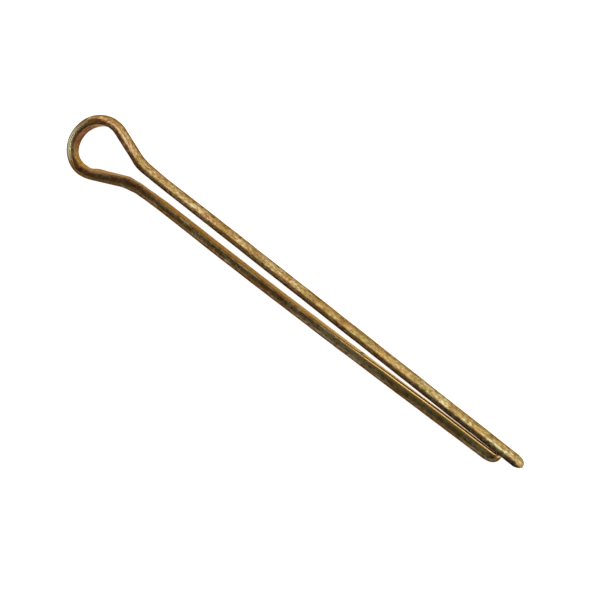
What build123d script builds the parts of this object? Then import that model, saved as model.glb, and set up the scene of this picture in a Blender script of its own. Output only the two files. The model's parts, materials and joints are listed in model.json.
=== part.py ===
from build123d import *
import os
from math import radians, tan

# Cotter pin bent from one length of half-round wire, lying flat, in millimetres.
# X runs from the eye to the tips, Y points from the short leg to the long one, and Z is up.
# The origin is on the shank's middle line, in the plane under the eye.

# Half-round wire, with its flat side inside the pin
wire_radius = 1.16          # from the flat to the top of the round side
wire_corner = 0.20          # rounding between the flat and the round side
corner_limit_share = 0.45   # the most of the wire's radius that the rounding can take

# Legs
shank_length = 50.8         # from under the eye to the end of the short leg
prong_extra = 2.27          # how far the long leg reaches past the short one
neck_gap = 1.05             # between the flats under the eye
tip_gap = 0.12              # between the flats at the end of the short leg
long_leg_bow = 0.028        # how far the long leg bends out from a straight line
short_leg_bow = 0.245       # the same for the short leg
bow_place_share = 0.40      # where along the shank the legs bend out most
bow_run_share = 0.45        # how much of the shorter run the bow's arc takes

# Eye, as the corners of its bends before they are rounded
long_side_depth = 7.97      # from under the eye to the crown's corner beside the long leg
long_side_rise = 3.29       # from the middle line to that corner
short_side_depth = 8.57     # the same two sizes beside the short leg
short_side_rise = 4.22
long_crown_share = 0.472    # how much of the crown's side each of its two arcs takes
short_crown_share = 0.520
long_neck_radius = 5.45     # bend from the eye into the long leg
short_neck_radius = 7.15    # bend from the eye into the short leg

# Tips, rounded where the wire was cut
long_nose_length = 1.16     # rounding on the round side of the long leg
long_nose_drop = 0.52
long_heel_length = 1.06     # rounding on the flat side of the long leg
long_heel_drop = 0.50
short_nose_length = 1.29    # rounding on the round side of the short leg
short_nose_drop = 0.88
nose_lead = 0.04            # height at which a rounding meets the wire, so that it cuts cleanly
overrun = 0.50              # how far cutting profiles reach past the wire


def arc_radius(before, corner, after, run_share):
    """Radius of the arc that takes a share of the shorter run beside a corner."""
    run_in = corner - before
    run_out = after - corner
    turn = run_in.get_angle(run_out)
    return run_share * min(run_in.length, run_out.length) / tan(radians(turn / 2))


def leg_corners(side, bow, extra):
    """Neck, bow and tip of a leg's flat. The side is 1 for the long leg and -1 for the short one."""
    neck = Vector(0, side * neck_gap / 2)
    short_end = Vector(shank_length, side * tip_gap / 2)
    middle = neck + (short_end - neck) * bow_place_share + Vector(0, side * bow)
    tip = short_end + (short_end - middle).normalized() * extra
    return neck, middle, tip


long_neck, long_middle, long_tip = leg_corners(1, long_leg_bow, prong_extra)
short_neck, short_middle, short_tip = leg_corners(-1, short_leg_bow, 0)
long_crown = Vector(-long_side_depth, long_side_rise)
short_crown = Vector(-short_side_depth, -short_side_rise)

# The line that the middle of the wire's flat follows, from the long tip round the eye to the short tip
corners = [long_tip, long_middle, long_neck, long_crown, short_crown, short_neck, short_middle, short_tip]
bend_radii = [
    arc_radius(long_tip, long_middle, long_neck, bow_run_share),
    long_neck_radius,
    arc_radius(long_neck, long_crown, short_crown, long_crown_share),
    arc_radius(long_crown, short_crown, short_neck, short_crown_share),
    short_neck_radius,
    arc_radius(short_neck, short_middle, short_tip, bow_run_share),
]

# The way the long leg's tip points, and the way its round side faces
up = Vector(0, 0, 1)
long_way = (long_tip - long_middle).normalized()
long_outward = up.cross(long_way)


with BuildPart() as cotter_pin:
    # Wire bent to the pin's outline
    with BuildLine() as centre_line:
        FilletPolyline(*corners, radius=bend_radii)
    with BuildSketch(Plane(origin=long_tip, x_dir=long_outward, z_dir=-long_way)) as wire_section:
        with BuildLine():
            round_side = CenterArc((0, 0), wire_radius, -90, 180)
            Line(round_side @ 1, round_side @ 0)
        make_face()
        fillet(wire_section.vertices(), min(wire_corner, corner_limit_share * wire_radius))
    sweep(path=centre_line.wire())

    # Round side of each tip, turned down to a nose about the pin's middle line
    for tip, side, length, drop in (
        (long_tip, 1, long_nose_length, long_nose_drop),
        (short_tip, -1, short_nose_length, short_nose_drop),
    ):
        full_height = side * tip.Y + wire_radius
        end_height = full_height - drop
        with BuildSketch(Plane(origin=(tip.X, 0, 0), x_dir=(1, 0, 0), z_dir=(0, side, 0))):
            with BuildLine():
                nose = EllipticalCenterArc((-length, end_height), length, drop + nose_lead, 0, arc_size=90)
                Polyline(
                    nose @ 0,
                    (overrun, end_height),
                    (overrun, full_height + overrun),
                    (-length, full_height + overrun),
                    nose @ 1,
                )
            make_face()
        revolve(axis=Axis.X, revolution_arc=180, mode=Mode.SUBTRACT)

    # Flat side of the long leg's tip
    with BuildSketch(Plane(origin=long_tip, x_dir=long_way, z_dir=up)):
        with BuildLine():
            heel_centre = (-long_heel_length, long_heel_drop)
            heel = EllipticalCenterArc(
                heel_centre, long_heel_length, long_heel_drop + nose_lead, 270, arc_size=90
            )
            Polyline(
                heel @ 1,
                (overrun, long_heel_drop),
                (overrun, -overrun),
                (-long_heel_length, -overrun),
                heel @ 0,
            )
        make_face()
    extrude(amount=wire_radius + overrun, both=True, mode=Mode.SUBTRACT)

cotter_pin.part.label = "cotter_pin"

os.makedirs("parts", exist_ok=True)
export_step(cotter_pin.part, "parts/cotter_pin.step")
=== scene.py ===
import json
import math

import bpy
import numpy as np
from mathutils import Matrix, Vector, noise


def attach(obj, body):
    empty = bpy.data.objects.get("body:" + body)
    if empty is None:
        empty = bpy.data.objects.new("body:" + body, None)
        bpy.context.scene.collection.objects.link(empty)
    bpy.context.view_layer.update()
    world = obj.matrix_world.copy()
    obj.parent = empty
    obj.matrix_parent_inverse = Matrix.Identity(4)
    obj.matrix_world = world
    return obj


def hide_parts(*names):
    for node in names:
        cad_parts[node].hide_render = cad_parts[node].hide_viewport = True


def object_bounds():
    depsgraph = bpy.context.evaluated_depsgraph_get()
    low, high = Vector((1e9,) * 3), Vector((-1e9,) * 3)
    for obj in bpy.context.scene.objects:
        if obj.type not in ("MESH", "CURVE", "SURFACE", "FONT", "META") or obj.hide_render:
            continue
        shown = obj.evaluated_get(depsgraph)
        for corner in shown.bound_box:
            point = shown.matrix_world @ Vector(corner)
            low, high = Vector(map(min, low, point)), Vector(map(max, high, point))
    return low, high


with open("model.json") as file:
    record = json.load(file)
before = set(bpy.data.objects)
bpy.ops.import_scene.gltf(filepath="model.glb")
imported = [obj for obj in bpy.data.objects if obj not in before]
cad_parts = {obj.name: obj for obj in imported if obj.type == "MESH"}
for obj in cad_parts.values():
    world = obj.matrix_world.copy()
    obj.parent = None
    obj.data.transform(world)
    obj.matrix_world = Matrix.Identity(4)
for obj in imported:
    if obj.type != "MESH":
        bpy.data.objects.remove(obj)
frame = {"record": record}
cad_low, cad_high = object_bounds()

MM = 0.001

# Sizes in millimetres, the same as those the CAD model is driven by. The shank's are read from its mount.
shank = next(mount for mount in frame["record"]["mounts"] if mount["name"] == "shank")
wire_radius = shank["dims"]["r_mm"]
shank_length = shank["dims"]["length_mm"]
wire_corner = 0.20
prong_extra = 2.27
neck_gap = 1.05
tip_gap = 0.12
long_leg_bow = 0.028
short_leg_bow = 0.245
bow_place_share = 0.40
bow_run_share = 0.45
long_crown = np.array([-7.97, 3.29])
short_crown = np.array([-8.57, -4.22])
long_crown_share = 0.472
short_crown_share = 0.520
long_neck_radius = 5.45
short_neck_radius = 7.15
long_nose_length = 1.16
long_nose_drop = 0.52
long_heel_length = 1.06
long_heel_drop = 0.50
short_nose_length = 1.29
short_nose_drop = 0.88
nose_lead = 0.04

# What bending and handling did to the wire
# From the long neck round the eye to the short leg: millimetres round the eye, the wire's thickness as a
# share of the straight wire's, how far its flat side leans to face up, and how far it is bent out
bend_changes = (
    (-9.0, 1.03, 0.00, 0.00),
    (-3.0, 1.00, 0.00, 0.00),
    (0.7, 1.07, 0.02, 0.02),
    (2.5, 1.01, 0.08, 0.00),
    (5.5, 1.01, 0.06, 0.00),
    (8.9, 1.06, -0.09, 0.00),
    (10.7, 1.03, -0.14, 0.00),
    (12.7, 1.03, -0.19, 0.00),
    (15.0, 1.02, 0.10, 0.00),
    (16.3, 1.06, 0.27, 0.00),
    (17.6, 1.07, 0.22, 0.01),
    (19.9, 1.08, 0.18, 0.02),
    (21.3, 1.08, 0.05, 0.07),
    (22.6, 1.02, 0.01, 0.06),
    (24.2, 1.00, 0.03, 0.01),
    (26.0, 0.97, 0.08, 0.00),
    (36.0, 0.98, 0.08, 0.01),
    (44.0, 0.99, 0.06, 0.00),
    (52.0, 1.045, 0.03, -0.02),
    (58.0, 1.11, -0.02, -0.08),
    (64.0, 1.14, -0.05, -0.11),
    (71.0, 1.085, -0.06, -0.04),
)
soft_corner = 0.33          # rounding of the wire's corners near the short tip, where they are worn
soft_from = 46.0            # where that starts and is full, in millimetres round the eye
soft_to = 62.0

# How far the legs wander from their line, in two waves with so many turns to the millimetre
leg_wave = 0.018
slow_wave_rate = 0.16
slow_wave_seed = 3.1
quick_wave_rate = 0.5
quick_wave_seed = 8.7
quick_wave_share = 0.6
wave_eye_reach = 10.0       # how far from the eye and from a tip it is full
wave_tip_reach = 6.0

# Shallow unevenness of the drawn surface: features to the millimetre along and across, and a seed
dent_depth = 0.016
broad_dents = (0.55, 1.1, 20)
fine_dents = (1.7, 2.3, 40)
broad_dent_share = 0.6

# Mesh
leg_step = 0.16
eye_step = 0.10
nose_steps = 26
flat_steps = 5
corner_steps = 7
round_steps = 36
sharp_angle = 42            # degrees from which an edge is shown sharp

# Where the look of the wire changes. Each pair says where a change starts and where it is full.
# A run is in millimetres along the wire, past the crown's middle where nothing else is said.
# Sides are shares of the way from the flat to the top of the round side.
half_run = (-2.4, -1.7)           # from the long leg's half to the short leg's
edge_sides = (0.0, 0.06)          # from the flat to its corner

# Painted shade on the round sides and the cut ends
short_shade_sides = (0.35, 0.80)
long_shade_sides = (0.70, 0.95)
long_shade_strength = 0.45
short_nose_run = (-1.3, -0.5)     # past the short tip
short_nose_sides = (0.02, 0.20)
long_heel_run = (1.2, 3.2)        # past the long tip
long_heel_sides = (0.28, 0.52)
long_end_run = (6.0, 26.0)        # past the long tip
long_end_sides = (0.38, 0.63)
long_end_strength = 0.62

# Painted shade beside the flat
long_arm_run = (-10.0, -8.0)
long_band_shade_sides = (0.15, 0.42)
long_arm_extra = 0.50             # how much further it reaches on the long arm of the eye
short_arm_run = (2.0, 4.0)
short_arm_fade = (9.0, 16.0)
short_band_shade_sides = (0.45, 0.65)
short_band_shade_strength = 0.85

# Painted reflected light on the flat, and the worn corner beside it with a painted highlight
flat_light_run = (0.6, 3.6)
flat_light_least = 0.4                 # how much light is painted on it beside the eye
flat_lighter_run = (24.0, 50.0)
worn_run = (36.0, 48.0)
worn_sides = (0.10, 0.48)

# Yellow towards both tips, measured from the crown's middle
yellow_run = (26.0, 56.0)

# Painted shade on the flat inside the crown, and a pale painted highlight outside it, measured both ways
# from their middles
wall_shade_middle = -0.6
wall_shade_reach = (1.0, 2.4)
wall_shade_sides = (0.05, 0.30)
crown_highlight_middle = 0.8
crown_highlight_reach = (0.6, 2.1)
crown_highlight_start_sides = (0.38, 0.50)
crown_highlight_end_sides = (0.68, 0.80)

# Patterns of the brass: features to the millimetre along, out and up, levels of detail, and a seed
patterns = {
    "streaks": ((0.09, 5.5, 5.5), 4, 3.0),
    "lines": ((0.5, 15, 15), 2, 11.0),
    "cross_marks": ((4.5, 0.6, 0.6), 2, 23.0),
    "clouds": ((0.7, 1.3, 1.3), 4, 37.0),
    "tints": ((0.4, 0.9, 0.9), 2, 51.0),
    # these two place the painted glints
    "glint_specks": ((2.2, 4.5, 4.5), 2, 67.0),
    "glint_clusters": ((0.25, 0.8, 0.8), 1, 83.0),
    "mottles": ((2.8, 3.5, 3.5), 3, 97.0),
}
pattern_roughness = 0.55
bumps = (                         # patterns that stand out, and how far in millimetres
    ("streaks", 0.010),
    ("lines", 0.003),
    ("cross_marks", 0.016),
)

# Colours of the brass, as levels of a pattern or share with a colour or a grey for each
tarnish_stops = (
    (0.30, (0.257, 0.138, 0.050)),
    (0.50, (0.380, 0.240, 0.086)),
    (0.70, (0.447, 0.320, 0.131)),
)
hue_stops = (
    (0.34, (1.05, 0.95, 0.90)),
    (0.50, (1.0, 1.0, 1.0)),
    (0.66, (0.93, 1.06, 0.95)),
)
streak_stops = ((0.32, 0.74), (0.68, 1.15))
mottle_stops = (
    (0.34, (0.60, 0.56, 0.58)),
    (0.52, (1.0, 1.0, 1.0)),
    (0.68, (1.22, 1.24, 1.20)),
)
uneven_stops = ((0.34, 0.68), (0.52, 1.0), (0.68, 1.25))
glint_cluster_share = 0.4               # how much the painted glints gather in clusters
# painted glints: pale flecks that stand in for light caught by rough spots
glint_stops = ((0.515, 0.0), (0.60, 0.9))
glint_colour = (0.60, 0.50, 0.27)
yellow_stops = ((0.0, (1.0, 0.96, 0.91)), (1.0, (1.10, 1.17, 1.07)))
# painted shade: the colour that darkens the round sides and the cut ends
painted_shade_colour = (0.28, 0.27, 0.42)
# painted highlight: the pale colour on the outside of the crown
crown_highlight_colour = (0.47, 0.46, 0.34)
# painted shade: the colour that darkens the wire beside its flat
band_shade_colour = (0.84, 0.62, 0.62)
# painted highlight: the bright colour along the worn corner beside the short leg's flat
wear_and_highlight_colour = (0.74, 0.47, 0.15)
# painted reflected light: the flat's colour, brighter towards the short tip
flat_light_stops = ((0.4, (0.46, 0.30, 0.13)), (1.0, (0.76, 0.55, 0.22)))
flat_lighting_stops = ((0.0, 0.0), (0.4, 0.9))
# painted shade on the flat inside the crown
wall_shade_colour = (0.56, 0.46, 0.66)

# Dark upright nick on the short leg's flat
nick_scale = (1.0, 1.0, 0.15)     # how much distances along, out and up count
nick_place = (105.97, 0.0, -0.05)
nick_core = 0.10
nick_reach = 0.20
nick_shade = (0.12, 0.09, 0.05)

# Colours of the brass where it is seen at a flat angle
# on the flat these brighten towards the short tip, a painted reflected light
flat_edge_stops = (
    (0.0, (0.56, 0.41, 0.34)),
    (0.4, (0.58, 0.39, 0.20)),
    (1.0, (0.86, 0.62, 0.28)),
)
round_edge_colour = (0.66, 0.40, 0.22)
# darker edge colour where shade is painted on the round side
shade_edge_colour = (0.55, 0.36, 0.20)
shade_edge_from = 0.5              # painted shade from which that colour mixes in
flat_edge_width = 0.07            # millimetres out from the flat

# Roughness of the brass. Widths are millimetres out from the flat.
streak_levels = (0.3, 0.7)
round_roughness = (0.22, 0.34)    # on the round side, by the streaks
flat_roughness = 0.28
corner_roughness = 0.75
corner_start = (0.0, 0.06)
corner_end = (0.15, 0.45)
worn_smoothing = 0.6              # how much less rough a worn corner and the crown under its painted highlight are
crown_highlight_smoothing = 0.45

# Studio: two soft boxes on the long leg's side, two strips at the eye and one at the tips, in a dim room.
# Each light has its place, a spot it faces, its width and height, all in millimetres, and its radiance.
box_lights = (
    ("low_box", (0, 200, 58), (0, 0, 58), (620, 95), 1.15),
    ("high_box", (0, 200, 162), (0, 0, 162), (620, 112), 1.75),
    ("eye_strip", (-169, -96, 60), (6, -30, 0), (156, 12), 5.0),
    ("crown_strip", (-213, 23, 60), (-38, 89, 0), (100, 12), 1.7),
    ("tip_strip", (250, 140, 70), (50, 0, 70), (220, 120), 0.7),
)
room_stops = ((0.03, 0.8), (0.12, 0.15))    # how bright the room is by the height of a direction
floor_half_width = 6.0
floor_white = 0.85
floor_glow = 0.88
camera_glow_share = 1.07          # how much stronger the floor glows to the camera than in the metal

# Camera, from the photograph's view of the pin
camera_tilt = 18.33               # degrees off the vertical
camera_bearing = 20.07            # degrees from the pin's length to the side the camera leans to
camera_roll = 37.77
camera_distance = 170.0
camera_lens = 96.03
camera_near = 0.01
camera_far = 30.0
photo_scale = 9.415               # pixels to the millimetre
known_spot = Vector((22.67, 0.498, 0.0))
known_pixel_offset = (-5.69, 9.68)    # where that spot shows, right of and above the image's middle


def unit(vector):
    return vector / np.linalg.norm(vector)


def turn_between(run_in, run_out):
    """Signed angle from one run to the next, in radians."""
    cross = run_in[0] * run_out[1] - run_in[1] * run_out[0]
    return math.atan2(cross, float(np.dot(run_in, run_out)))


def arc_radius(before, corner, after, run_share):
    """Radius of the arc that takes a share of the shorter run beside a corner."""
    run_in = corner - before
    run_out = after - corner
    shorter = min(np.linalg.norm(run_in), np.linalg.norm(run_out))
    return run_share * shorter / math.tan(abs(turn_between(run_in, run_out)) / 2)


def leg_corners(side, bow, extra):
    """Neck, bow and tip of a leg's flat. The side is 1 for the long leg and -1 for the short one."""
    neck = np.array([0.0, side * neck_gap / 2])
    short_end = np.array([shank_length, side * tip_gap / 2])
    middle = neck + (short_end - neck) * bow_place_share + np.array([0.0, side * bow])
    tip = short_end + unit(short_end - middle) * extra
    return neck, middle, tip


def straight(start, way):
    """A function that gives the point and the way at a distance along a straight run."""
    def at(run):
        return start + way * run, way
    return at


def curved(start, way, radius, turn):
    """The same for an arc that starts that way and turns by an angle."""
    side = math.copysign(1, turn)
    left = np.array([-way[1], way[0]])
    centre = start + left * side * radius

    def at(run):
        angle = side * run / radius
        spin = np.array([[math.cos(angle), -math.sin(angle)], [math.sin(angle), math.cos(angle)]])
        return centre + spin @ (start - centre), spin @ way
    return at


def bent_line(corners, radii):
    """Runs and arcs of the line, each as its length and a function that gives a point and a way."""
    pieces = []
    here = corners[0]
    for before, corner, after, radius in zip(corners, corners[1:], corners[2:], radii):
        way_in = unit(corner - before)
        turn = turn_between(way_in, unit(after - corner))
        arc_start = corner - way_in * radius * math.tan(abs(turn) / 2)
        arc_length = radius * abs(turn)
        arc = curved(arc_start, way_in, radius, turn)
        pieces.append((np.linalg.norm(arc_start - here), straight(here, way_in)))
        pieces.append((arc_length, arc))
        here = arc(arc_length)[0]
    last_run = corners[-1] - here
    pieces.append((np.linalg.norm(last_run), straight(here, unit(last_run))))
    return pieces


def along(pieces, run):
    """The point on the whole line at a distance from its start, and the way the line goes there."""
    for length, at in pieces[:-1]:
        if run <= length:
            return at(run)
        run -= length
    return pieces[-1][1](run)


def section_loop(rounding):
    """Points round the half-round section as (outward, up), from the middle of the flat."""
    centre_up = math.sqrt((wire_radius - rounding) ** 2 - rounding ** 2)
    meet = math.atan2(centre_up, rounding)
    flat = [(0.0, centre_up * k / flat_steps) for k in range(flat_steps)]
    corner = []
    for k in range(corner_steps):
        angle = math.pi + (meet - math.pi) * k / corner_steps
        corner.append((rounding * (1 + math.cos(angle)), centre_up + rounding * math.sin(angle)))
    half_round = []
    for k in range(round_steps // 2 + 1):
        angle = meet * (1 - 2 * k / round_steps)
        half_round.append((wire_radius * math.cos(angle), wire_radius * math.sin(angle)))
    upper = flat + corner + half_round
    lower = [(out, -up) for out, up in upper[-2:0:-1]]
    return np.array(upper + lower)


# The line that the middle of the wire's flat follows, from the long tip round the eye to the short tip
long_neck, long_middle, long_tip = leg_corners(1, long_leg_bow, prong_extra)
short_neck, short_middle, short_tip = leg_corners(-1, short_leg_bow, 0)
line_corners = (
    long_tip,
    long_middle,
    long_neck,
    long_crown,
    short_crown,
    short_neck,
    short_middle,
    short_tip,
)
bend_radii = (
    arc_radius(long_tip, long_middle, long_neck, bow_run_share),
    long_neck_radius,
    arc_radius(long_neck, long_crown, short_crown, long_crown_share),
    arc_radius(long_crown, short_crown, short_neck, short_crown_share),
    short_neck_radius,
    arc_radius(short_neck, short_middle, short_tip, bow_run_share),
)
wire_line = bent_line(line_corners, bend_radii)
line_lengths = [length for length, at in wire_line]
leg_pieces = 3                    # pieces of the line in each leg: a run, the bow's arc and a run
wire_length = sum(line_lengths)
eye_start = sum(line_lengths[:leg_pieces])
eye_end = wire_length - sum(line_lengths[-leg_pieces:])
crown_middle = (eye_start + eye_end) / 2

# Sections of the wire as it was drawn, and with its corners worn
drawn_section = section_loop(wire_corner)
soft_section = section_loop(soft_corner)
section_count = len(drawn_section)


def rise(values, start, end):
    """Zero before the start, one past the end and smooth between."""
    share = np.clip((values - start) / (end - start), 0, 1)
    return share * share * (3 - 2 * share)


def rise_past(values, origin, zone):
    """The same over a zone that is measured from an origin."""
    return rise(values, origin + zone[0], origin + zone[1])


def smooth_share(value):
    return float(rise(value, 0, 1))


def quarter_round(distance, length, drop):
    """How far a rounded end has risen at a distance from the end, or None past the rounding."""
    if distance >= length:
        return None
    share = 1 - distance / length
    return (drop + nose_lead) * math.sqrt(max(0.0, 1 - share * share))


def ring_runs():
    """Distances along the line at which the wire gets a ring of points."""
    long_leg = np.linspace(0, eye_start, int(eye_start / leg_step))
    eye = np.linspace(eye_start, eye_end, int((eye_end - eye_start) / eye_step))
    short_leg = np.linspace(eye_end, wire_length, int((wire_length - eye_end) / leg_step))
    nose_shares = 1 - np.cos(np.linspace(0, math.pi / 2, nose_steps))
    long_nose = long_nose_length * nose_shares
    short_nose = wire_length - short_nose_length * nose_shares
    runs = np.concatenate([long_leg, eye[1:-1], short_leg])
    between = (runs > long_nose_length) & (runs < wire_length - short_nose_length)
    return np.sort(np.concatenate([long_nose, runs[between], short_nose]))


def ring_section(run):
    """The wire's section at a distance along the line, with soft corners near the short tip."""
    softness = smooth_share((run - eye_start - soft_from) / (soft_to - soft_from))
    return drawn_section + (soft_section - drawn_section) * softness


def bend_change(round_eye):
    """The wire's share of thickness, its flat's lean and its bend out, at a distance round the eye."""
    places = [stop[0] for stop in bend_changes]
    after = sum(place < round_eye for place in places)
    if after in (0, len(places)):
        return bend_changes[min(after, len(places) - 1)][1:]
    start, *before = bend_changes[after - 1]
    end, *then = bend_changes[after]
    share = smooth_share((round_eye - start) / (end - start))
    return [a + (b - a) * share for a, b in zip(before, then)]


def leg_wander(run):
    """How far a leg is off its line, which fades out at the eye and at the tips."""
    from_eye = max(eye_start - run, run - eye_end, 0.0)
    from_tip = min(run, wire_length - run)
    free = smooth_share(from_eye / wave_eye_reach) * smooth_share(from_tip / wave_tip_reach)
    slow = noise.noise(Vector((run * slow_wave_rate, slow_wave_seed, 0)))
    quick = noise.noise(Vector((run * quick_wave_rate, quick_wave_seed, 0)))
    return leg_wave * free * (slow + quick_wave_share * quick)


def dent_level(run, out, up, dents):
    """Noise from zero to one in the wire's straight space."""
    along_rate, across_rate, seed = dents
    spot = Vector((run * along_rate, out * across_rate, up * across_rate + seed))
    return 0.5 + 0.5 * noise.noise(spot)


def dented_scale(run, out, up):
    """How large the section is at a point, as a share of the section without dents."""
    broad = dent_level(run, out, up, broad_dents)
    fine = dent_level(run, out, up, fine_dents)
    depth = dent_depth * (broad_dent_share * broad + (1 - broad_dent_share) * fine)
    return 1 - depth / wire_radius


def wire_ring(section, run):
    """One ring of the wire, in millimetres."""
    spot, way = along(wire_line, run)
    outward = np.array([way[1], -way[0]])
    thickness, lean, bent_out = bend_change(run - eye_start)
    wander = leg_wander(run)
    heel = quarter_round(run, long_heel_length, long_heel_drop)
    least_out = -wire_radius if heel is None else max(0.0, long_heel_drop - heel)
    ring = []
    for out, up in section:
        scale = dented_scale(run, out, up)
        reach = max(out * scale * thickness + up * lean, least_out)
        flat_spot = spot + outward * (reach + bent_out + wander)
        ring.append((flat_spot[0], flat_spot[1], up * scale))
    return np.array(ring)


def nose_limit(ring, run):
    """The ring brought inside the rounded nose of the nearer tip, about the pin's middle line."""
    if run < wire_length / 2:
        risen = quarter_round(run, long_nose_length, long_nose_drop)
        end_height = long_tip[1] + wire_radius - long_nose_drop
    else:
        risen = quarter_round(wire_length - run, short_nose_length, short_nose_drop)
        end_height = -short_tip[1] + wire_radius - short_nose_drop
    if risen is None:
        return ring
    reach = np.hypot(ring[:, 1], ring[:, 2])
    scale = np.minimum(1.0, (end_height + risen) / reach)
    limited = ring.copy()
    limited[:, 1:] *= scale[:, None]
    return limited


def shade_painted_share(run, outside):
    """How much shade is painted on the round side, more on the short leg's half, and on the cut ends."""
    short_half = rise_past(run, crown_middle, half_run)
    short_shade = rise(outside, *short_shade_sides)
    long_shade = long_shade_strength * rise(outside, *long_shade_sides)
    sides = short_half * short_shade + (1 - short_half) * long_shade
    short_nose = rise_past(run, wire_length, short_nose_run) * rise(outside, *short_nose_sides)
    long_heel = (1 - rise(run, *long_heel_run)) * (1 - rise(outside, *long_heel_sides))
    long_end = (1 - rise(run, *long_end_run)) * (1 - rise(outside, *long_end_sides))
    return np.maximum.reduce([sides, short_nose, long_heel, long_end_strength * long_end])


def band_shaded_share(run, outside):
    """How much shade is painted beside the wire's flat, on the long leg's half and on both arms of the
    eye.
    """
    long_half = 1 - rise_past(run, crown_middle, half_run)
    long_arm = rise_past(run, crown_middle, long_arm_run) * long_half
    long_start, long_full = long_band_shade_sides
    long_band_shade = long_half * (1 - rise(outside, long_start, long_full + long_arm_extra * long_arm))
    fading = 1 - rise_past(run, crown_middle, short_arm_fade)
    short_arm = rise_past(run, crown_middle, short_arm_run) * fading
    short_band_shade = short_band_shade_strength * short_arm * (1 - rise(outside, *short_band_shade_sides))
    return rise(outside, *edge_sides) * (long_band_shade + short_band_shade)


def flat_light_share(run, outside):
    """How much reflected light is painted on the flat, from the crown to the short leg's tip."""
    short_half = rise_past(run, crown_middle, flat_light_run)
    brighter = flat_light_least + (1 - flat_light_least) * rise_past(run, crown_middle, flat_lighter_run)
    return short_half * brighter * (1 - rise(outside, *edge_sides))


def wear_and_highlight_share(run, outside):
    """How worn the corner beside the short leg's flat is towards its tip, where a bright highlight is
    painted on it.
    """
    return rise_past(run, crown_middle, worn_run) * (1 - rise(outside, *worn_sides))


def yellowed_share(run):
    """How yellow the wire is, which grows from the eye to the tips."""
    return rise(np.abs(run - crown_middle), *yellow_run)


def wall_shade_share(run, outside):
    """How much shade is painted on the flat inside the crown."""
    near = 1 - rise(np.abs(run - crown_middle - wall_shade_middle), *wall_shade_reach)
    return near * (1 - rise(outside, *wall_shade_sides))


def highlighted_share(run, outside):
    """How much pale highlight is painted on the outside of the crown."""
    near = 1 - rise(np.abs(run - crown_middle - crown_highlight_middle), *crown_highlight_reach)
    return near * rise(outside, *crown_highlight_start_sides) * (1 - rise(outside, *crown_highlight_end_sides))


def look_shares(places):
    """Each way in which the look of the wire changes, as a share for every point of the mesh."""
    run = places[:, 0]
    outside = places[:, 1] / wire_radius
    return {
        "painted_shade": shade_painted_share(run, outside),
        "band_shade": band_shaded_share(run, outside),
        "flat_light": flat_light_share(run, outside),
        "wear_and_highlight": wear_and_highlight_share(run, outside),
        "yellowing": yellowed_share(run),
        "wall_shade": wall_shade_share(run, outside),
        "crown_highlight": highlighted_share(run, outside),
    }


def wire_points():
    """Points of the wire's rings and the middles of its ends, bent and in the wire's straight space."""
    points = []
    places = []
    for run in ring_runs():
        section = ring_section(run)
        points.append(nose_limit(wire_ring(section, run), run))
        places.append(np.column_stack([np.full(section_count, run), section]))
    for rows in (points, places):
        rows += [rows[0].mean(0)[None], rows[-1].mean(0)[None]]
    return np.concatenate(points), np.concatenate(places)


def cap_faces(ring_start, middle):
    """Triangles from a ring to the middle point of an end."""
    faces = []
    for j in range(section_count):
        k = (j + 1) % section_count
        faces.append((ring_start + j, ring_start + k, middle))
    return faces


def wire_faces(point_count):
    """Faces between the rings, and those that close the two ends."""
    first_middle = point_count - 2
    last_ring = first_middle - section_count
    faces = []
    for ring_start in range(0, last_ring, section_count):
        next_ring = ring_start + section_count
        for j in range(section_count):
            k = (j + 1) % section_count
            faces.append((ring_start + j, ring_start + k, next_ring + k, next_ring + j))
    faces += [face[::-1] for face in cap_faces(0, first_middle)]
    faces += cap_faces(last_ring, first_middle + 1)
    return faces


def wire_mesh():
    points, places = wire_points()
    inside = np.clip(points * MM, np.array(cad_low), np.array(cad_high))
    mesh = bpy.data.meshes.new("pin_wire")
    mesh.from_pydata(inside.tolist(), [], wire_faces(len(points)))
    for name, shares in look_shares(places).items():
        attribute = mesh.attributes.new(name, "FLOAT", "POINT")
        attribute.data.foreach_set("value", shares.astype(np.float32))
    place = mesh.attributes.new("wire_place", "FLOAT_VECTOR", "POINT")
    place.data.foreach_set("vector", places.astype(np.float32).ravel())
    mesh.polygons.foreach_set("use_smooth", [True] * len(mesh.polygons))
    mesh.set_sharp_from_angle(angle=math.radians(sharp_angle))
    mesh.validate()
    return mesh


def fresh_material(name):
    material = bpy.data.materials.new(name)
    material.use_nodes = True
    material.node_tree.nodes.clear()
    return material, material.node_tree


def feed(tree, socket, value):
    """Links a socket to another, or sets its value."""
    if isinstance(value, bpy.types.NodeSocket):
        tree.links.new(value, socket)
    else:
        socket.default_value = value


def node(tree, kind, inputs=(), **settings):
    """A new shader node with its settings, and with its inputs set or linked."""
    made = tree.nodes.new(kind)
    for name, value in settings.items():
        setattr(made, name, value)
    for name, value in dict(inputs).items():
        feed(tree, made.inputs[name], value)
    return made


def opaque(colour):
    """A colour or a grey level, as four numbers."""
    if isinstance(colour, float):
        return (colour, colour, colour, 1)
    return (*colour, 1)


def maths(tree, kind, *values):
    return node(tree, "ShaderNodeMath", enumerate(values), operation=kind).outputs[0]


def remapped(tree, value, start, end, first, last):
    """A value that goes from the first to the last level while another goes from a start to an end."""
    levels = {"From Min": start, "From Max": end, "To Min": first, "To Max": last}
    return node(tree, "ShaderNodeMapRange", {"Value": value, **levels}).outputs["Result"]


def ramp(tree, value, stops):
    """A colour that follows a value, through stops of a level and a colour or grey."""
    made = node(tree, "ShaderNodeValToRGB", {"Fac": value})
    elements = made.color_ramp.elements
    while len(elements) < len(stops):
        elements.new(0.5)
    for element, (position, colour) in zip(elements, stops):
        element.position = position
        element.color = opaque(colour)
    return made.outputs["Color"]


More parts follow.
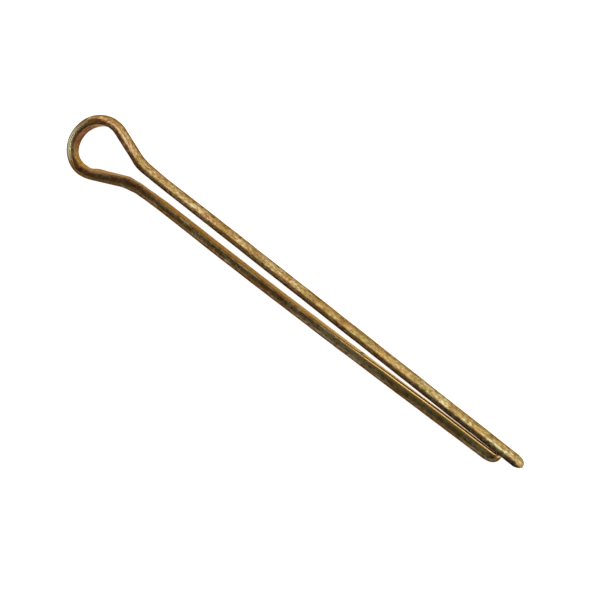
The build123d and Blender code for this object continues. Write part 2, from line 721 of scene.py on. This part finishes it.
def mixed(tree, kind, share, first, second):
    """Two colours mixed by a share. The second can be given by its numbers."""
    made = node(tree, "ShaderNodeMix", {"Factor": share}, data_type="RGBA", blend_type=kind)
    colour_inputs = [socket for socket in made.inputs if socket.type == "RGBA"]
    for socket, colour in zip(colour_inputs, (first, second)):
        numbers = isinstance(colour, tuple)
        feed(tree, socket, opaque(colour) if numbers else colour)
    return next(socket for socket in made.outputs if socket.type == "RGBA")


def stretched_noise(tree, place, stretch, detail, seed):
    """Noise in the wire's straight space, with so many features to the millimetre along, out and up."""
    shift = (seed, seed, seed)
    spread = node(tree, "ShaderNodeMapping", {"Vector": place, "Scale": stretch, "Location": shift})
    return node(
        tree,
        "ShaderNodeTexNoise",
        {
            "Vector": spread.outputs["Vector"],
            "Scale": 1.0,
            "Detail": detail,
            "Roughness": pattern_roughness,
        },
    ).outputs["Fac"]


def attribute(tree, name, output):
    return node(tree, "ShaderNodeAttribute", attribute_name=name).outputs[output]


def drawn_colour(tree, marks):
    """Tarnished brass as it was drawn, with its streaks and mottles, and glints painted on as pale flecks.
    """
    tarnish = ramp(tree, marks["clouds"], tarnish_stops)
    tinted = mixed(tree, "MULTIPLY", 1.0, tarnish, ramp(tree, marks["tints"], hue_stops))
    streaked = mixed(tree, "MULTIPLY", 1.0, tinted, ramp(tree, marks["streaks"], streak_stops))
    mottled = mixed(tree, "MULTIPLY", 1.0, streaked, ramp(tree, marks["mottles"], mottle_stops))
    # painted glints
    gathered = mixed(tree, "MIX", glint_cluster_share, marks["glint_specks"], marks["glint_clusters"])
    return mixed(tree, "MIX", ramp(tree, gathered, glint_stops), mottled, glint_colour)


def aged_colour(tree, drawn, shares, uneven):
    """That brass, yellower towards the tips, with painted shade on the round sides, the cut ends, beside
    the flat and inside the crown, painted highlights on the crown and on the worn corner, and painted
    reflected light on the flat.
    """
    yellowed = mixed(tree, "MULTIPLY", 1.0, drawn, ramp(tree, shares["yellowing"], yellow_stops))
    # painted shade on the round sides and the cut ends
    shade_painted = mixed(tree, "MULTIPLY", shares["painted_shade"], yellowed, painted_shade_colour)
    # painted highlight on the outside of the crown
    highlighted = mixed(tree, "MIX", shares["crown_highlight"], shade_painted, crown_highlight_colour)
    # painted shade beside the flat
    band_shaded = mixed(tree, "MULTIPLY", shares["band_shade"], highlighted, band_shade_colour)
    # painted highlight on the worn corner
    wear_and_highlight = mixed(tree, "MIX", shares["wear_and_highlight"], band_shaded, wear_and_highlight_colour)
    # painted reflected light on the flat
    flat_light = mixed(tree, "MULTIPLY", 1.0, ramp(tree, shares["flat_light"], flat_light_stops), uneven)
    flat_lighted = mixed(tree, "MIX", ramp(tree, shares["flat_light"], flat_lighting_stops), wear_and_highlight, flat_light)
    # painted shade on the flat inside the crown
    return mixed(tree, "MULTIPLY", shares["wall_shade"], flat_lighted, wall_shade_colour)


def nick_share(tree, place):
    """How far a point is in the dark nick."""
    scaled = node(tree, "ShaderNodeVectorMath", {0: place, 1: nick_scale}, operation="MULTIPLY")
    ends = {0: scaled.outputs["Vector"], 1: nick_place}
    distance = node(tree, "ShaderNodeVectorMath", ends, operation="DISTANCE").outputs["Value"]
    return remapped(tree, distance, nick_core, nick_reach, 1.0, 0.0)


def edge_colour(tree, shares, uneven, nick, out):
    """The colour at a flat angle, which isn't the same on the flat and on the round side: on the flat it
    carries the painted reflected light, on the round side the painted shade.
    """
    flat_edge = mixed(tree, "MULTIPLY", 1.0, ramp(tree, shares["flat_light"], flat_edge_stops), uneven)
    nicked_edge = mixed(tree, "MULTIPLY", nick, flat_edge, nick_shade)
    deep_shade = remapped(tree, shares["painted_shade"], shade_edge_from, 1.0, 0.0, 1.0)
    round_edge = mixed(tree, "MIX", deep_shade, round_edge_colour, shade_edge_colour)
    flatness = remapped(tree, out, 0.0, flat_edge_width, 1.0, 0.0)
    return mixed(tree, "MIX", flatness, round_edge, nicked_edge)


def brass_roughness(tree, marks, shares, out):
    """Roughness that is highest on the corners, and lower where they are worn and on the crown under its
    painted highlight.
    """
    from_flat = remapped(tree, out, *corner_start, flat_roughness, corner_roughness)
    to_round = remapped(tree, out, *corner_end, corner_roughness, 0.0)
    corner = maths(tree, "MINIMUM", from_flat, to_round)
    worn_scale = maths(tree, "MULTIPLY_ADD", shares["wear_and_highlight"], -worn_smoothing, 1.0)
    worn_corner = maths(tree, "MULTIPLY", corner, worn_scale)
    streaked = remapped(tree, marks["streaks"], *streak_levels, *round_roughness)
    crown_highlight_scale = maths(tree, "MULTIPLY_ADD", shares["crown_highlight"], -crown_highlight_smoothing, 1.0)
    highlighted = maths(tree, "MULTIPLY", streaked, crown_highlight_scale)
    return maths(tree, "MAXIMUM", highlighted, worn_corner)


def bumped_normal(tree, marks):
    """The surface's normal with each of the bumps on top of those before it."""
    under = {}
    for name, depth in bumps:
        inputs = {"Height": marks[name], "Strength": 1.0, "Distance": depth * MM, **under}
        under = {"Normal": node(tree, "ShaderNodeBump", inputs).outputs["Normal"]}
    return under["Normal"]


def brass_material():
    material, tree = fresh_material("drawn_brass")
    place = attribute(tree, "wire_place", "Vector")
    out = node(tree, "ShaderNodeSeparateXYZ", {0: place}).outputs["Y"]
    marks = {name: stretched_noise(tree, place, *pattern) for name, pattern in patterns.items()}
    share_names = ("yellowing", "crown_highlight", "painted_shade", "band_shade", "flat_light", "wear_and_highlight", "wall_shade")
    shares = {name: attribute(tree, name, "Fac") for name in share_names}
    uneven = ramp(tree, marks["mottles"], uneven_stops)
    nick = nick_share(tree, place)
    aged = aged_colour(tree, drawn_colour(tree, marks), shares, uneven)
    shader = node(
        tree,
        "ShaderNodeBsdfPrincipled",
        {
            "Base Color": mixed(tree, "MULTIPLY", nick, aged, nick_shade),
            "Metallic": 1.0,
            "Specular Tint": edge_colour(tree, shares, uneven, nick, out),
            "Roughness": brass_roughness(tree, marks, shares, out),
            "Normal": bumped_normal(tree, marks),
        },
    )
    node(tree, "ShaderNodeOutputMaterial", {"Surface": shader.outputs["BSDF"]})
    return material


def floor_material():
    """A white sheet that also shows as white to the camera and in the metal, and still takes shadow."""
    material, tree = fresh_material("white_sheet")
    rays = node(tree, "ShaderNodeLightPath").outputs
    seen = maths(tree, "MULTIPLY_ADD", rays["Is Camera Ray"], camera_glow_share, rays["Is Glossy Ray"])
    seen = maths(tree, "ADD", seen, rays["Is Transmission Ray"])
    glow = maths(tree, "MULTIPLY", seen, floor_glow)
    light = node(tree, "ShaderNodeEmission", {"Color": opaque(1.0), "Strength": glow})
    sheet = node(tree, "ShaderNodeBsdfDiffuse", {"Color": opaque(floor_white)})
    both = node(tree, "ShaderNodeAddShader", {0: light.outputs[0], 1: sheet.outputs[0]})
    node(tree, "ShaderNodeOutputMaterial", {"Surface": both.outputs[0]})
    return material


def add_to_scene(name, data):
    made = bpy.data.objects.new(name, data)
    bpy.context.scene.collection.objects.link(made)
    return made


def add_wire():
    wire = add_to_scene("pin_wire", wire_mesh())
    wire.data.materials.append(brass_material())
    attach(wire, "root")
    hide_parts("cotter_pin")


def add_floor():
    half = floor_half_width
    corners = [(-half, -half), (half, -half), (half, half), (-half, half)]
    mesh = bpy.data.meshes.new("floor")
    mesh.from_pydata([(x, y, cad_low.z) for x, y in corners], [], [(0, 1, 2, 3)])
    mesh.materials.append(floor_material())
    floor = add_to_scene("floor", mesh)


def add_box_light(name, place, target, size, radiance):
    """A rectangular light at a place, facing a target, all in millimetres."""
    lamp = bpy.data.lights.new(name, "AREA")
    lamp.shape = "RECTANGLE"
    lamp.size = size[0] * MM
    lamp.size_y = size[1] * MM
    lamp.energy = radiance * math.pi * lamp.size * lamp.size_y
    light = add_to_scene(name, lamp)
    light.location = Vector(place) * MM
    facing = (Vector(target) - Vector(place)).normalized()
    light.rotation_mode = "QUATERNION"
    light.rotation_quaternion = facing.to_track_quat("-Z", "Y")
    light.visible_camera = False


def add_world():
    world = bpy.data.worlds.new("room")
    bpy.context.scene.world = world
    world.use_nodes = True
    tree = world.node_tree
    tree.nodes.clear()
    direction = node(tree, "ShaderNodeTexCoord").outputs["Generated"]
    height = node(tree, "ShaderNodeSeparateXYZ", {0: direction}).outputs["Z"]
    level = ramp(tree, height, room_stops)
    light = node(tree, "ShaderNodeBackground", {"Color": level, "Strength": 1.0})
    node(tree, "ShaderNodeOutputWorld", {"Surface": light.outputs[0]})


def camera_ways():
    """The ways to the camera's right, to its top and back from the view."""
    tilt = math.radians(camera_tilt)
    bearing = math.radians(camera_bearing)
    roll = math.radians(camera_roll)
    back = Vector((
        math.sin(tilt) * math.cos(bearing),
        math.sin(tilt) * math.sin(bearing),
        math.cos(tilt),
    ))
    length_way = Vector((1, 0, 0))
    across = (length_way - back * back.dot(length_way)).normalized()
    over = back.cross(across)
    right = across * math.cos(roll) + over * math.sin(roll)
    upward = over * math.cos(roll) - across * math.sin(roll)
    return right, upward, back


def add_camera():
    right, upward, back = camera_ways()
    known_offset = right * known_pixel_offset[0] + upward * known_pixel_offset[1]
    middle = known_spot - known_offset / photo_scale
    spot = (middle + back * camera_distance) * MM
    turn = Matrix((right, upward, back)).transposed()
    data = bpy.data.cameras.new("camera")
    data.lens = camera_lens
    data.clip_start = camera_near
    data.clip_end = camera_far
    camera = add_to_scene("camera", data)
    camera.matrix_world = Matrix.Translation(spot) @ turn.to_4x4()
    bpy.context.scene.camera = camera


bpy.context.scene.view_settings.view_transform = "Standard"
add_wire()
add_floor()
for box_light in box_lights:
    add_box_light(*box_light)
add_world()
add_camera()
